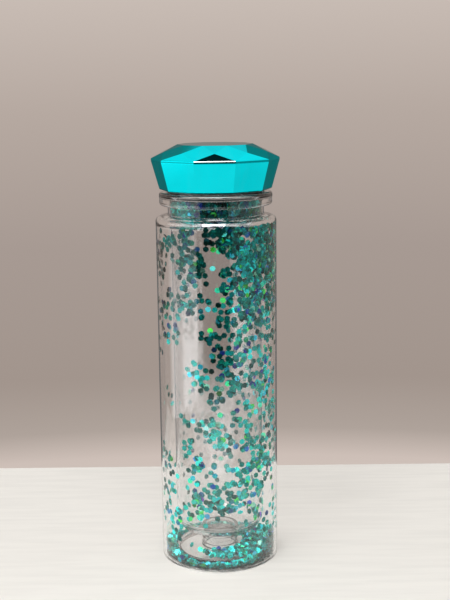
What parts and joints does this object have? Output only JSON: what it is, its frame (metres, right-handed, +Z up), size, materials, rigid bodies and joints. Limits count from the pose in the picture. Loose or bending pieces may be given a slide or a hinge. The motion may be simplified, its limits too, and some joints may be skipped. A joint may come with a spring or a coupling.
{
  "type": "double-wall glitter bottle",
  "caption": "Clear double-wall plastic drinks bottle with loose glitter between its walls and a faceted gem-shaped screw lid with a threaded insert and seal.",
  "frame": {"origin": "middle of the foot, on the surface that the bottle stands on", "axes": "+Z up along the bottle's axis, -Y towards the viewer, facing one flat of the lid"},
  "size_m": [0.0742, 0.0704, 0.2475],
  "materials": {
    "clear_wall": "clear injection-moulded plastic, polished",
    "metallised_gem": "vacuum-metallised mirror under a teal lacquer",
    "insert_plastic": "dark grey moulded plastic",
    "silicone": "translucent white silicone",
    "glitter_film": "holographic metallised film, teal"
  },
  "bodies": {
    "bottle": {"outer_shell": "clear_wall", "inner_flask": "clear_wall", "base_disc": "clear_wall", "glitter_shell": "glitter_film", "glitter_flask": "glitter_film", "glitter_neck": "glitter_film", "glitter_heap": "glitter_film"},
    "seal": {"cap_gasket": "silicone"},
    "lid": {"gem_skirt": "metallised_gem", "gem_crown": "metallised_gem", "cap_insert": "insert_plastic"}
  },
  "joints": [
    {"name": "lid_lift", "type": "slide", "parent": "bottle", "child": "seal", "axis": [0, 0, 1], "range_m": [0, 0.012]},
    {"name": "lid_turn", "type": "hinge", "parent": "seal", "child": "lid", "pos_m": [0, 0, 0.23], "axis": [0, 0, 1], "range_deg": [0, 1080]}
  ],
  "couplings": [
    {"joint": "lid_lift", "follows": "lid_turn", "m_per_rad": 0.00063662}
  ]
}
